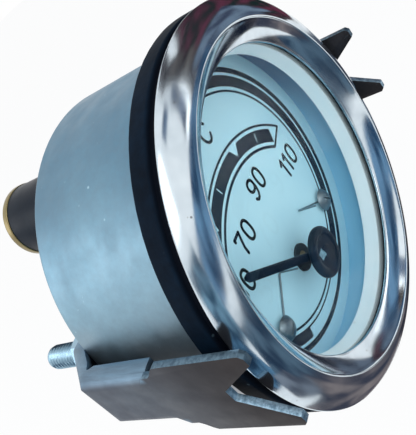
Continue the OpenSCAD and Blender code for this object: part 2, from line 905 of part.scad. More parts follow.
module terminal_outer_insulators() {
    color([0.45, 0.25, 0.15])
        both_sides()
            translate([blade_x, 0, -blade_z])
                difference() {
                    union() {
                        rod(0, 0, case_depth, case_depth + insulator_t, insulator_r);
                        rod(0, 0, case_inner_rear, case_depth, rivet_r + 0.6);
                    }
                    rod(0, 0, case_inner_rear - over, case_depth + 2 * over, rivet_r);
                }
}

module terminal_inner_insulators() {
    color([0.45, 0.25, 0.15])
        both_sides()
            translate([blade_x, 0, -blade_z])
                difference() {
                    rod(0, 0, case_inner_rear - insulator_t, case_inner_rear, insulator_r);
                    rod(0, 0, case_inner_rear - 2 * over, case_depth, rivet_r);
                }
}

// Lead from each terminal's rivet to the coils
module lead_wires() {
    top = case_inner_rear - insulator_t - 0.5;
    inner_x = former_half + coil_t;
    color([0.6, 0.2, 0.15])
        both_sides() {
            rod(blade_x, -blade_z, former_mid, top, lead_r, $fn = 24);
            translate([blade_x, former_mid, -blade_z])
                sphere(lead_r, $fn = 24);
            translate([inner_x, former_mid, -blade_z])
                rotate([0, 90, 0])
                    cylinder(h = blade_x - inner_x, r = lead_r, $fn = 24);
        }
}

bezel();
glass();
glass_seal();
gasket();
case();
spacer_ring();
dial();
dial_screws();
low_stop_wire();
high_stop_wire();
pointer();
pointer_hub();
pointer_shaft();
rotor_magnet();
front_bearing();
rear_bearing();
coil_former_front();
coil_former_rear();
sine_coil();
cosine_coil();
shield_can();
base_plate();
mounting_studs();
bracket();
stud_washers();
stud_nut_left();
stud_nut_right();
lamp_socket();
lamp_sleeve();
lamp_insulator();
lamp_contact();
bulb_base();
bulb_glass();
terminal_blades();
terminal_outer_insulators();
terminal_inner_insulators();
lead_wires();
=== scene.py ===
"""Looks of the round temperature gauge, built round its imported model.

Shapes are in millimetres, in the part's frame: Y runs rearwards from the panel's front face, Z up
on the dial and X to its right. Materials, cards, lamps and the floor are in metres.
"""

import json
from math import asin, atan2, cos, hypot, pi, radians, sin, sqrt, tan

import bmesh
import bpy
from mathutils import Matrix, Vector, noise

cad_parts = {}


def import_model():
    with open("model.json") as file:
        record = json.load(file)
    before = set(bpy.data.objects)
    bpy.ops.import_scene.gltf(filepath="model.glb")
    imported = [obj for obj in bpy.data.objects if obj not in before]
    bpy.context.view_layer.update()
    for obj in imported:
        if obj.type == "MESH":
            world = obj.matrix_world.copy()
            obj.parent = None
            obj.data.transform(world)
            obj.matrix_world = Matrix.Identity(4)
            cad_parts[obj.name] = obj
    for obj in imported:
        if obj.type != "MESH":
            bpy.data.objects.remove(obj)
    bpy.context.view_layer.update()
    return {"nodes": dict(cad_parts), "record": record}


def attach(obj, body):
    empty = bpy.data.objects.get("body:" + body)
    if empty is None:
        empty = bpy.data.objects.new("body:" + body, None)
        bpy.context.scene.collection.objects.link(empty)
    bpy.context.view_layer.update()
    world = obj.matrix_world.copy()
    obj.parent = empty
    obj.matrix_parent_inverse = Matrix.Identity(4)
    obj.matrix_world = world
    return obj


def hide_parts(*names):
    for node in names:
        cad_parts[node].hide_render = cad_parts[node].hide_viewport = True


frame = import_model()
MM = 0.001

# ------------------------------------------------------------------ camera

# Recovered from the gauge's circles in the photograph; the axes are the picture's, in the part's frame
CAMERA_PLACE = Vector((-62.7, -48.9, 45.9))
CAMERA_RIGHT = Vector((0.3070, -0.7410, -0.5973))
CAMERA_DOWN = Vector((-0.7091, 0.2410, -0.6635))
CAMERA_FORWARD = Vector((0.6356, 0.6270, -0.4514))
LENS, SENSOR = 52.84, 36


def make_camera():
    data = bpy.data.cameras.new("camera")
    data.sensor_width = SENSOR
    data.lens = LENS
    data.clip_start = 0.002
    data.clip_end = 20
    camera = bpy.data.objects.new("camera", data)
    axes = Matrix((CAMERA_RIGHT, -CAMERA_DOWN, -CAMERA_FORWARD)).transposed().to_4x4()
    camera.matrix_world = Matrix.Translation(CAMERA_PLACE * MM) @ axes
    bpy.context.scene.collection.objects.link(camera)
    bpy.context.scene.camera = camera


make_camera()

# ------------------------------------------------------------------ node materials

# Sockets of ShaderNodeMix for colors: factor and the two colors, and the result
MIX_INPUTS = (0, 6, 7)
MIX_OUTPUT = 2


class Nodes:
    """Short calls for building one material's nodes. Its coordinates are in metres."""

    def __init__(self, name):
        self.material = bpy.data.materials.new(name)
        self.material.use_nodes = True
        self.tree = self.material.node_tree
        self.shader = self.tree.nodes["Principled BSDF"]
        self.coords = self.tree.nodes.new("ShaderNodeTexCoord").outputs["Object"]

    def add(self, kind, **inputs):
        node = self.tree.nodes.new("ShaderNode" + kind)
        for key, value in inputs.items():
            self.put(node.inputs[key.replace("_", " ")], value)
        return node

    def put(self, socket, value):
        if isinstance(value, bpy.types.NodeSocket):
            self.tree.links.new(value, socket)
        elif isinstance(value, tuple) and len(value) == 3 and len(socket.default_value) == 4:
            socket.default_value = (*value, 1)
        else:
            socket.default_value = value

    def set(self, **inputs):
        for key, value in inputs.items():
            self.put(self.shader.inputs[key.replace("_", " ")], value)

    def noise(self, scale, detail=3, rough=0.5, stretch=None, distortion=0):
        """Noise of about scale bumps per millimetre."""
        vector = self.coords
        if stretch:
            vector = self.add("Mapping", Vector=vector, Scale=stretch).outputs[0]
        return self.add("TexNoise", Vector=vector, Scale=scale * 1000, Detail=detail, Roughness=rough,
                        Distortion=distortion).outputs["Fac"]

    def remap(self, value, lo, hi, to_lo, to_hi, smooth=False):
        node = self.add("MapRange", Value=value, From_Min=lo, From_Max=hi, To_Min=to_lo, To_Max=to_hi)
        if smooth:
            node.interpolation_type = "SMOOTHSTEP"
        return node.outputs[0]

    def mix(self, fac, a, b):
        node = self.tree.nodes.new("ShaderNodeMix")
        node.data_type = "RGBA"
        for index, value in zip(MIX_INPUTS, (fac, a, b)):
            self.put(node.inputs[index], value)
        return node.outputs[MIX_OUTPUT]

    def math(self, kind, a, b=0.0):
        node = self.tree.nodes.new("ShaderNodeMath")
        node.operation = kind
        self.put(node.inputs[0], a)
        self.put(node.inputs[1], b)
        return node.outputs[0]

    def bump(self, height, distance_mm, strength=1.0, normal=None):
        node = self.add("Bump", Height=height, Distance=distance_mm * MM, Strength=strength)
        if normal is not None:
            self.put(node.inputs["Normal"], normal)
        return node.outputs[0]

    def specks(self, scale, size):
        """1 inside small random specks, about scale of them per millimetre each way."""
        cells = self.add("TexVoronoi", Vector=self.coords, Scale=scale * 1000, Randomness=1.0)
        return self.remap(cells.outputs["Distance"], size, size * 0.5, 0, 1)

    def dots(self, scale, size, patches, share, start=0.52):
        """Specks that come in patches, up to a share."""
        return self.math("MULTIPLY", self.specks(scale, size),
                         self.remap(self.noise(patches), start, 0.6, 0, share))

    def blotches(self, scale, detail=4):
        """Soft blotches from 0 to 1."""
        return self.remap(self.noise(scale, detail, 0.6), 0.35, 0.65, 0, 1)

    def uneven(self, scale, lo, hi):
        """A value that wanders between lo and hi."""
        return self.remap(self.noise(scale, 3), 0.3, 0.7, lo, hi)

    def axis(self, name):
        """The point's X, Y or Z."""
        return self.add("SeparateXYZ", Vector=self.coords).outputs[name]

    def wavering(self, value, scale, detail, reach, rough=0.5):
        """A value pushed up by noise, by up to reach."""
        return self.math("ADD", value, self.math("MULTIPLY", self.noise(scale, detail, rough), reach))


def metal(name, color, other, rough, rough_other, grain=0.6, bump_mm=0.004):
    """Metal of two tones in soft blotches, with a fine, darker grain."""
    m = Nodes(name)
    fine = m.noise(grain, 4, 0.65)
    darker = tuple(c * 0.72 for c in color)
    tone = m.mix(m.remap(fine, 0.3, 0.7, 0, 0.22), m.mix(m.blotches(0.11), color, other), darker)
    m.set(Base_Color=tone, Metallic=1.0, Roughness=m.uneven(0.35, rough, rough_other),
          Normal=m.bump(fine, bump_mm))
    return m.material


def plastic(name, color, rough, grain=1.2, bump_mm=0.01, dust=0.0, dust_color=(0.4, 0.42, 0.45), gloss=0.5):
    """Plastic, rubber or fibre with a darker grain, and with a film and specks of dust if any."""
    m = Nodes(name)
    fine = m.noise(grain, 4, 0.6)
    tone = m.mix(m.remap(fine, 0.3, 0.7, 0, 0.35), color, tuple(c * 0.6 for c in color))
    if dust:
        film = m.remap(m.noise(0.25, 5, 0.7), 0.45, 0.75, 0, dust)
        specks = m.dots(0.5, 0.1, 0.5, min(1, dust * 3), start=0.5)
        tone = m.mix(specks, m.mix(film, tone, dust_color), dust_color)
    m.set(Base_Color=tone, Roughness=m.uneven(0.4, rough * 0.85, min(1, rough * 1.15)),
          Normal=m.bump(fine, bump_mm), Specular_IOR_Level=gloss)
    return m.material


def chrome():
    """Polished metal with haze, pits and the slight waves of formed sheet."""
    m = Nodes("bezel_chrome")
    haze = m.noise(0.07, 4, 0.6)
    tone = m.mix(m.remap(haze, 0.4, 0.62, 0, 1), (0.76, 0.85, 0.91), (0.58, 0.67, 0.74))
    tone = m.mix(m.dots(0.5, 0.09, 0.25, 0.7), tone, (0.12, 0.11, 0.11))
    waves = m.bump(m.noise(0.09, 2, 0.4), 0.10)
    m.set(Base_Color=tone, Metallic=1.0, Roughness=m.remap(haze, 0.35, 0.7, 0.07, 0.22),
          Normal=m.bump(m.noise(1.3, 3), 0.0015, normal=waves))
    return m.material


def clear_glass(name, alpha):
    """Clear glass, slightly smeared."""
    m = Nodes(name)
    m.set(Base_Color=(0.97, 0.98, 1.0), Roughness=m.uneven(0.2, 0.02, 0.06), IOR=1.45, Alpha=alpha,
          Transmission_Weight=1.0)
    return m.material


def dial_paint():
    """Matt, pale paint with a few dark specks."""
    m = Nodes("dial_paint")
    tone = m.mix(m.blotches(0.08), (0.52, 0.86, 0.96), (0.46, 0.80, 0.92))
    tone = m.mix(m.dots(0.22, 0.06, 0.2, 0.5), tone, (0.25, 0.24, 0.22))
    m.set(Base_Color=tone, Roughness=0.5, Normal=m.bump(m.noise(2.2, 3), 0.003), Specular_IOR_Level=0.25)
    return m.material


def ring_plastic_with_painted_shade():
    """Milky ring, pale on its front lip; the deep groove behind the lip is painted bluer and darker as shade,
    darkest towards the top.
    """
    m = Nodes("cream_paint")
    # Painted shade: behind the lip the ring is coloured dark blue, darker higher up, where the lip shades it
    groove_shade_mask = m.remap(m.axis("Y"), -0.0011, -0.0007, 0, 1)
    height = m.wavering(m.axis("Z"), 0.04, 2, 0.008)
    painted_groove_shade = m.mix(m.remap(height, -0.012, 0.024, 0, 1, smooth=True), (0.24, 0.56, 0.76), (0.03, 0.10, 0.20))
    pale = m.mix(m.blotches(0.08), (0.84, 0.98, 1.0), (0.76, 0.94, 0.98))
    tone = m.mix(m.dots(0.22, 0.06, 0.2, 0.6), m.mix(groove_shade_mask, pale, painted_groove_shade), (0.25, 0.26, 0.26))
    m.set(Base_Color=tone, Roughness=0.45, Normal=m.bump(m.noise(2.2, 3), 0.003), Specular_IOR_Level=0.25)
    return m.material


def gasket_rubber_painted_shade():
    """Black rubber with dust, painted near-black as shade in the groove beside the bezel and lighter on its
    outer band as lit.
    """
    m = Nodes("gasket_rubber_painted_shade")
    # Painted light and shade: the front part beside the bezel gets the near-black shade tone, and the outer
    # band behind it gets the lighter, lit tone
    lit_band_share = m.remap(m.wavering(m.axis("Y"), 0.4, 3, 0.0002), -0.0030, -0.0027, 0, 1)
    film = m.remap(m.noise(0.25, 5, 0.7), 0.35, 0.75, 0, 1)
    lit_band_tone = m.mix(film, (0.002, 0.006, 0.013), (0.004, 0.014, 0.030))
    tone = m.mix(lit_band_share, (0.0015, 0.003, 0.007), lit_band_tone)
    tone = m.mix(m.dots(0.45, 0.11, 0.5, 0.5, start=0.5), tone, (0.10, 0.16, 0.20))
    m.set(Base_Color=tone, Roughness=0.6, Specular_IOR_Level=0.05, Normal=m.bump(m.noise(0.8, 4, 0.6), 0.05))
    return m.material


def hub_plastic_with_glint():
    """Black cap with a greyish patch beside its middle: a painted glint, partly rubbed paint."""
    m = Nodes("hub_black")
    # Painted highlight, partly wear: a greyish glint patch at a fixed place on the cap's front, broken up by
    # noise
    glint_x, glint_z, glint_half = -0.00125, -0.0106, 0.00105
    across = m.math("ABSOLUTE", m.math("SUBTRACT", m.axis("X"), glint_x))
    along = m.math("ABSOLUTE", m.math("SUBTRACT", m.axis("Z"), glint_z))
    reach = m.wavering(m.math("MAXIMUM", across, along), 1.2, 4, 0.0006, rough=0.7)
    glint_patch = m.remap(reach, glint_half, glint_half - 0.0002, 0, 1)
    front = m.remap(m.axis("Y"), -0.0007, -0.00078, 0, 1)
    highlight_and_wear = m.remap(m.noise(1.5, 4, 0.7), 0.35, 0.6, 0.3, 1)
    glint_and_rubbing = m.math("MULTIPLY", m.math("MULTIPLY", glint_patch, front), highlight_and_wear)
    tone = m.mix(m.remap(m.noise(0.3, 3), 0.4, 0.7, 0, 1), (0.003, 0.011, 0.024), (0.005, 0.026, 0.055))
    m.set(Base_Color=m.mix(glint_and_rubbing, tone, (0.22, 0.42, 0.52)), Roughness=0.34, Specular_IOR_Level=0.1,
          Normal=m.bump(m.noise(2.0, 3), 0.004))
    return m.material


def bracket_metal():
    """Sheet with a dull outer face, darker towards the front, and painted brighter in streaks on its folds
    and flanges, as highlight and rubbed wear.
    """
    m = Nodes("bracket_zinc")
    blotch = m.blotches(0.09, 5)
    rearward = m.remap(m.wavering(m.axis("Y"), 0.05, 3, 0.012), -0.002, 0.026, 0, 1, smooth=True)
    tone = m.mix(rearward, m.mix(blotch, (0.050, 0.043, 0.044), (0.036, 0.033, 0.036)),
                 m.mix(blotch, (0.125, 0.158, 0.200), (0.090, 0.108, 0.142)))
    fine = m.noise(0.8, 4, 0.65)
    tone = m.mix(m.remap(fine, 0.3, 0.7, 0, 0.25), tone, (0.055, 0.055, 0.060))
    # Painted highlight, partly wear: the folds and flanges are coloured brighter in streaks
    fold = m.remap(m.math("ABSOLUTE", m.axis("Z")), 0.0036, 0.0047, 0, 1, smooth=True)
    flanged = m.remap(m.axis("Y"), 0.0072, 0.0078, 0, 1)
    streak = m.remap(m.noise(0.5, 5, 0.7, stretch=(1, 0.12, 1), distortion=0.8), 0.42, 0.66, 0.55, 1.0)
    highlight_and_wear = m.math("MULTIPLY", m.math("MULTIPLY", fold, flanged), streak)
    tone = m.mix(highlight_and_wear, tone, (0.20, 0.32, 0.43))
    scratch = m.remap(m.noise(1.1, 5, 0.8, stretch=(1, 0.05, 1), distortion=0.4), 0.66, 0.71, 0, 0.5)
    tone = m.mix(scratch, tone, (0.24, 0.30, 0.37))
    height = m.math("ADD", fine, m.math("MULTIPLY", scratch, -0.5))
    m.set(Base_Color=tone, Metallic=0.9, Roughness=m.uneven(0.35, 0.42, 0.56),
          Normal=m.bump(height, 0.01, normal=m.bump(m.noise(0.06, 2), 0.25)))
    return m.material


def sheared_edge():
    """Ragged cut edge of sheet, brighter on the lower claw."""
    m = Nodes("sheared_edge")
    grain = m.noise(1.4, 5, 0.7)
    low = m.remap(m.axis("Z"), 0.004, -0.0005, 0, 1, smooth=True)
    tone = m.mix(m.remap(grain, 0.4, 0.62, 0, 1), m.mix(low, (0.15, 0.24, 0.31), (0.46, 0.66, 0.80)),
                 m.mix(low, (0.07, 0.12, 0.17), (0.17, 0.28, 0.38)))
    m.set(Base_Color=tone, Metallic=0.9, Roughness=0.38, Normal=m.bump(grain, 0.05))
    return m.material


def can_metal_painted_reflections():
    """Satin can with painted reflections, bluer and darker above and warmer grey below, with specks and fine
    scratches.
    """
    m = Nodes("can_zinc")
    # Painted reflection: warm grey below, turning blue and then darker blue towards the top
    height = m.wavering(m.axis("Z"), 0.05, 3, 0.02)
    tone = m.mix(m.remap(height, 0.006, 0.020, 0, 1, smooth=True), (0.40, 0.395, 0.405), (0.24, 0.40, 0.50))
    tone = m.mix(m.remap(height, 0.018, 0.036, 0, 1, smooth=True), tone, (0.115, 0.255, 0.370))
    blotch = m.remap(m.noise(0.10, 5, 0.65), 0.35, 0.68, 0, 0.35)
    tone = m.mix(blotch, tone, (0.20, 0.28, 0.34))
    fine = m.noise(0.9, 5, 0.7)
    tone = m.mix(m.remap(fine, 0.35, 0.7, 0, 0.22), tone, (0.16, 0.20, 0.24))
    scratch = m.remap(m.noise(0.35, 6, 0.8, distortion=1.5), 0.665, 0.69, 0, 0.35)
    marks = m.math("MAXIMUM", scratch, m.dots(0.42, 0.10, 0.22, 0.9))
    tone = m.mix(marks, tone, (0.50, 0.70, 0.80))
    dents = m.bump(m.noise(0.035, 2, 0.4), 0.5)
    m.set(Base_Color=tone, Metallic=0.85, Roughness=m.uneven(0.3, 0.40, 0.54),
          Normal=m.bump(fine, 0.006, normal=dents))
    return m.material


def ink():
    """Dark, slightly faded print."""
    m = Nodes("dial_ink")
    faded = m.remap(m.noise(1.6, 4, 0.7), 0.45, 0.75, 0, 0.5)
    tone = m.mix(faded, (0.005, 0.016, 0.034), (0.015, 0.045, 0.080))
    m.set(Base_Color=tone, Roughness=0.62, Specular_IOR_Level=0.1, Normal=m.bump(m.noise(2.2, 3), 0.003))
    return m.material


def winding():
    """Enamelled copper."""
    m = Nodes("copper_winding")
    turns = m.noise(3.0, 2)
    m.set(Base_Color=m.mix(turns, (0.5, 0.19, 0.08), (0.3, 0.1, 0.04)), Roughness=0.35, Metallic=0.6,
          Normal=m.bump(turns, 0.05))
    return m.material


MATERIALS = {
    "bezel_chrome": chrome(),
    "front_glass": clear_glass("front_glass", 0.03),
    "black_rubber": plastic("black_rubber", (0.003, 0.007, 0.014), 0.7, grain=0.8, bump_mm=0.05, dust=0.14,
                            dust_color=(0.04, 0.08, 0.12), gloss=0.07),
    "can_zinc": can_metal_painted_reflections(),
    "cream_paint": ring_plastic_with_painted_shade(),
    "dial_paint": dial_paint(),
    "small_steel": metal("small_steel", (0.28, 0.36, 0.40), (0.19, 0.24, 0.27), 0.34, 0.5, 2.0, 0.004),
    "pointer_black": plastic("pointer_black", (0.003, 0.012, 0.026), 0.30, grain=2.0, bump_mm=0.004,
                             dust=0.10, dust_color=(0.02, 0.07, 0.14), gloss=0.06),
    "magnet_grey": metal("magnet_grey", (0.16, 0.16, 0.17), (0.11, 0.11, 0.12), 0.5, 0.7),
    "brass": metal("brass", (0.34, 0.29, 0.15), (0.22, 0.17, 0.085), 0.26, 0.42, 1.2, 0.004),
    "black_plastic": plastic("black_plastic", (0.006, 0.012, 0.022), 0.36, grain=1.5, bump_mm=0.006,
                             dust=0.10, dust_color=(0.03, 0.06, 0.09), gloss=0.10),
    "copper_winding": winding(),
    "plate_steel": metal("plate_steel", (0.55, 0.56, 0.57), (0.48, 0.49, 0.50), 0.35, 0.5),
    "fastener_zinc": metal("fastener_zinc", (0.36, 0.54, 0.66), (0.28, 0.42, 0.53), 0.24, 0.4, 1.6, 0.004),
    "bracket_zinc": bracket_metal(),
    "brown_fibre": plastic("brown_fibre", (0.20, 0.10, 0.05), 0.6, 1.5, 0.02),
    "bulb_metal": metal("bulb_metal", (0.6, 0.59, 0.55), (0.5, 0.49, 0.46), 0.3, 0.45),
    "bulb_clear": clear_glass("bulb_clear", 0.25),
    "lead_red": plastic("lead_red", (0.32, 0.03, 0.025), 0.4),
}
INK = ink()
SLOT_OF = {part["node"]: part["material_slot"] for part in frame["record"]["subparts"]}
BODY_OF = {node: body for body, nodes in frame["record"]["behaviour"]["bodies"].items() for node in nodes}

for name, node in frame["nodes"].items():
    node.data.materials.clear()
    node.data.materials.append(MATERIALS[SLOT_OF[name]])

# ------------------------------------------------------------------ making pieces

# Points of a mesh that are closer than this, in metres, are one point
WELD = 2e-7


def piece(name, vertices, faces, body, material, slot=None, replaces=(), sharp=35):
    """A mesh piece from millimetre points, smooth except at edges sharper than an angle."""
    mesh = bpy.data.meshes.new(name)
    mesh.from_pydata([Vector(v) * MM for v in vertices], [], faces)
    work = bmesh.new()
    work.from_mesh(mesh)
    bmesh.ops.remove_doubles(work, verts=work.verts, dist=WELD)
    bmesh.ops.recalc_face_normals(work, faces=work.faces)
    work.to_mesh(mesh)
    work.free()
    mesh.polygons.foreach_set("use_smooth", [True] * len(mesh.polygons))
    mesh.set_sharp_from_angle(angle=radians(sharp))
    made = bpy.data.objects.new(name, mesh)
    bpy.context.scene.collection.objects.link(made)
    mesh.materials.append(MATERIALS[material] if isinstance(material, str) else material)
    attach(made, body)
    if replaces:
        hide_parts(*replaces)
    return made


def turned(profile, x=0.0, z=0.0, steps=192, shift=None):
    """Closed profile of (radius, depth) turned round an axis along Y."""
    vertices, faces, count = [], [], len(profile)
    for i in range(steps):
        a = 2 * pi * i / steps
        for r, y in profile:
            if shift:
                r, y = shift(r, y, a)
            vertices.append((x + r * sin(a), y, z + r * cos(a)))
    for i in range(steps):
        for k in range(count):
            j, m = (i + 1) % steps, (k + 1) % count
            faces.append((i * count + k, j * count + k, j * count + m, i * count + m))
    return vertices, faces


def bulged(a, b, bulge, steps=10):
    """Points of an arc from a to b that bulges to the right of the way by bulge."""
    dx, dy = b[0] - a[0], b[1] - a[1]
    c = hypot(dx, dy)
    r = (c * c / 4 + bulge * bulge) / (2 * bulge)
    mx = (a[0] + b[0]) / 2 - dy / c * (r - bulge)
    my = (a[1] + b[1]) / 2 + dx / c * (r - bulge)
    half = asin(c / 2 / r)
    points = []
    for k in range(steps + 1):
        t = 2 * half * k / steps
        px, py = a[0] - mx, a[1] - my
        points.append((mx + px * cos(t) - py * sin(t), my + px * sin(t) + py * cos(t)))
    return points


def rounded(points, radius, steps=4):
    """Closed outline with each corner rounded by about radius, or by its own as a third value."""
    out, n = [], len(points)
    longest = 0.45
    for i, point in enumerate(points):
        p = Vector(point[:2])
        own = point[2] if len(point) > 2 else radius
        a, b = Vector(points[i - 1][:2]), Vector(points[(i + 1) % n][:2])
        u, w = a - p, b - p
        reach = min(own, u.length * longest, w.length * longest)
        if reach < 1e-4:
            out.append(tuple(p))
            continue
        u.normalize(), w.normalize()
        for k in range(steps + 1):
            t = k / steps
            q = p + u * reach * (1 - t) ** 2 + w * reach * t ** 2
            out.append(tuple(q))
    return out


def joined(*parts):
    vertices, faces = [], []
    for v, f in parts:
        base = len(vertices)
        vertices += v
        faces += [tuple(base + i for i in face) for face in f]
    return vertices, faces


# ------------------------------------------------------------------ bezel, glass, gasket, ring

# Height of the pointer's axis, and depth of the dial's face
PIVOT = -11.3
DIAL = 3.55

# Lip, inner slope, crest, outer roll, rear edge and the inside of the sheet
bezel_profile = (
    [(22.0, -4.45), (22.0, -4.72), (22.03, -4.79), (22.1, -4.83)]
    + bulged((22.16, -4.85), (24.62, -6.66), -0.16, 10)
    + [(24.72, -6.73), (24.85, -6.78), (24.98, -6.77)]
    + bulged((25.1, -6.74), (28.82, -4.56), 0.42, 18)
    + [(28.9, -4.46), (28.9, -4.37), (28.82, -4.3), (27.0, -4.3), (27.0, -4.48), (28.3, -4.55)]
    + bulged((28.2, -4.8), (24.95, -6.3), -0.3, 10)
    + [(23.3, -4.9), (23.3, -4.45)]
)
piece("bezel_ring", *turned(bezel_profile, steps=256), "gauge", "bezel_chrome", replaces=["bezel"], sharp=42)

glass_profile = rounded([(0, -4.15, 0), (25.0, -4.15), (25.0, -3.35), (0, -3.35, 0)], 0.2)
piece("front_glass_disc", *turned(glass_profile), "gauge", "front_glass", replaces=["glass"])


def rubber_wave(r, y, a):
    """Slight unevenness of the gasket's rim and of its free faces."""
    lump = noise.noise(Vector((cos(a) * 3, sin(a) * 3, y * 0.3)))
    fine = noise.noise(Vector((cos(a) * 30, sin(a) * 30, y * 2)))
    on_rim, between_faces = r > 27, -4 < y < -0.2
    return (r + 0.05 * lump + 0.03 * fine if on_rim else r), y + (0.05 * lump if between_faces else 0)


gasket_profile = rounded(
    [(26.03, -4.3, 0.1), (28.25, -4.3, 0.25), (28.25, -3.15, 0.1), (28.85, -2.9, 0.3), (28.85, 0, 0.35),
     (26.03, 0, 0.1)], 0.2, 5)
piece("gasket_ring", *turned(gasket_profile, steps=256, shift=rubber_wave), "gauge", gasket_rubber_painted_shade(),
      slot="black_rubber", replaces=["gasket"], sharp=50)

ring_profile = rounded(
    [(22.25, -3.3, 0.1), (25.0, -3.3, 0.4), (25.0, 3.55, 0.05), (24.5, 3.55, 0.05), (24.5, -1.65, 0.2),
     (22.5, -1.65, 0.2), (22.2, -1.0, 0.1), (21.7, -1.0, 0.15)], 0.2, 5)
piece("spacer_rim", *turned(ring_profile, steps=224), "gauge", "cream_paint", replaces=["spacer_ring"],
      sharp=50)

# ------------------------------------------------------------------ dial print

# The print is a thin raised layer, just clear of the dial's face
INK_FRONT = DIAL - 0.025
INK_REAR = DIAL - 0.002


def band(cx, cz, r0, r1, a0, a1, steps=96):
    """Part of a ring, from angle a0 to a1 clockwise from the top of the dial."""
    outline_in, outline_out = [], []
    for k in range(steps + 1):
        a = radians(a0 + (a1 - a0) * k / steps)
        outline_in.append((cx + r0 * sin(a), cz + r0 * cos(a)))
        outline_out.append((cx + r1 * sin(a), cz + r1 * cos(a)))
    n = steps + 1
    vertices = [(x, INK_FRONT, z) for x, z in outline_in + outline_out]
    vertices += [(x, INK_REAR, z) for x, z in outline_in + outline_out]
    faces = []
    for k in range(steps):
        faces.append((k, k + 1, n + k + 1, n + k))
        faces.append((2 * n + k, 3 * n + k, 3 * n + k + 1, 2 * n + k + 1))
        faces.append((k, 2 * n + k, 2 * n + k + 1, k + 1))
        faces.append((n + k, n + k + 1, 3 * n + k + 1, 3 * n + k))
    faces += [(0, n, 3 * n, 2 * n), (n - 1, 3 * n - 1, 4 * n - 1, 2 * n - 1)]
    return vertices, faces


def shape(outline):
    """Print inside a closed outline of (x, z) points."""
    n = len(outline)
    vertices = [(x, y, z) for y in (INK_FRONT, INK_REAR) for x, z in outline]
    faces = [tuple(range(n)), tuple(range(n, 2 * n))[::-1]]
    for i in range(n):
        j = (i + 1) % n
        faces.append((i, j, n + j, n + i))
    return vertices, faces


def stroke(points, width=0.5):
    """A pen stroke with round ends and joints through (x, z) points."""
    parts = []
    round_steps = 16
    for a, b in zip(points, points[1:]):
        u = (Vector(b) - Vector(a)).normalized() * width / 2
        s = Vector((-u.y, u.x))
        a, b = Vector(a), Vector(b)
        parts.append(shape([tuple(a + s), tuple(b + s), tuple(b - s), tuple(a - s)]))
    for p in points:
        turns = [2 * pi * k / round_steps for k in range(round_steps)]
        parts.append(shape([(p[0] + width / 2 * cos(a), p[1] + width / 2 * sin(a)) for a in turns]))
    return joined(*parts)


def oval(cx, cz, rx, rz, power=2.5, steps=28):
    """Closed oval; above 2, the power makes it fuller than an ellipse."""
    points = []
    for k in range(steps + 1):
        a = radians(360 * k / steps)
        s, c = sin(a), cos(a)
        points.append((cx + rx * abs(s) ** (2 / power) * (1 if s >= 0 else -1),
                       cz + rz * abs(c) ** (2 / power) * (1 if c >= 0 else -1)))
    return points


def digit(name, x, z):
    """Strokes of the digits 0, 1, 7, 9 and 5, 3.2 mm high along the pen's middle, centred at x, z."""
    if name == "0":
        return [oval(x, z, 0.88, 1.6)]
    if name == "1":
        return [[(x + 0.22, z - 1.6), (x + 0.22, z + 1.6), (x - 0.45, z + 0.95)]]
    if name == "7":
        return [[(x - 0.85, z + 1.25), (x - 0.85, z + 1.55), (x + 0.85, z + 1.55), (x + 0.35, z + 0.5),
                 (x - 0.1, z - 0.6), (x - 0.2, z - 1.6)]]
    if name == "9":
        return [oval(x, z + 0.72, 0.86, 0.9, 2.2),
                [(x + 0.86, z + 0.7), (x + 0.84, z - 0.2), (x + 0.6, z - 1.0), (x + 0.1, z - 1.5),
                 (x - 0.4, z - 1.6), (x - 0.8, z - 1.2)]]
    return [[(x + 0.75, z + 1.58), (x - 0.6, z + 1.58), (x - 0.7, z + 0.25), (x - 0.1, z + 0.5),
             (x + 0.5, z + 0.3), (x + 0.85, z - 0.3), (x + 0.8, z - 1.0), (x + 0.3, z - 1.5),
             (x - 0.3, z - 1.6), (x - 0.8, z - 1.25)]]


def ring_print():
    """Rings round the dial: a wide one outside, a thin one inside, and one between with a gap at the foot."""
    cx, cz, gap = -0.2, -0.1, 27.5
    middle_in, middle_out = 18.92, 20.65
    rings = [band(cx, cz, 21.1, 21.95, 0, 360, 180)]
    rings += [band(cx, cz, 18.05, 18.4, 0, 360, 180)]
    rings += [band(cx, cz, middle_in, middle_out, 180 + gap - 360, 180 - gap, 160)]
    rings += [band(cx, cz, middle_in, 19.2, 180 - gap, 180 + gap, 40)]
    return rings


def scale_print():
    """Scale: a band between two thin lines, broken by V and I marks, with a slanted end."""
    cx, cz = -0.46, -11.87
    band_in, band_out, band_end = 19.3, 21.45, 41.3
    end = 46.2
    inner_end, outer_end = end - 3.2, end + 2.2
    half_of = {"v": 3.3, "i": 0.32}

    def at(r, a):
        return cx + r * sin(a), cz + r * cos(a)

    parts = [band(cx, cz, 21.92, 22.3, -end, outer_end)]
    parts += [band(cx, cz, 18.32, 18.78, -end, inner_end)]
    start = -end
    for a, kind in ((-45.3, "v"), (-27.8, "v"), (-11.5, "i"), (11.3, "v"), (29.5, "i")):
        half = half_of[kind]
        if a - half > start:
            parts.append(band(cx, cz, band_in, band_out, start, a - half, 40))
        if kind == "v":
            tip = radians(a)
            for side in (-1, 1):
                edge = radians(a + side * half)
                corner = [at(band_out, edge), at(band_in, edge), at(band_in, tip), at(19.75, tip)]
                parts.append(shape(corner if side < 0 else corner[::-1]))
        else:
            parts.append(band(cx, cz, band_in, 19.75, a - half, a + half, 4))
            parts.append(band(cx, cz, 21.05, band_out, a - half, a + half, 4))
        start = a + half
    parts.append(band(cx, cz, band_in, band_out, start, band_end, 40))
    last = radians(band_end)
    parts.append(shape([at(band_out, last), at(band_in, last), at(band_in, last + 0.035)]))
    parts.append(stroke([at(18.55, radians(inner_end)), at(22.1, radians(outer_end))], 0.4))
    return parts


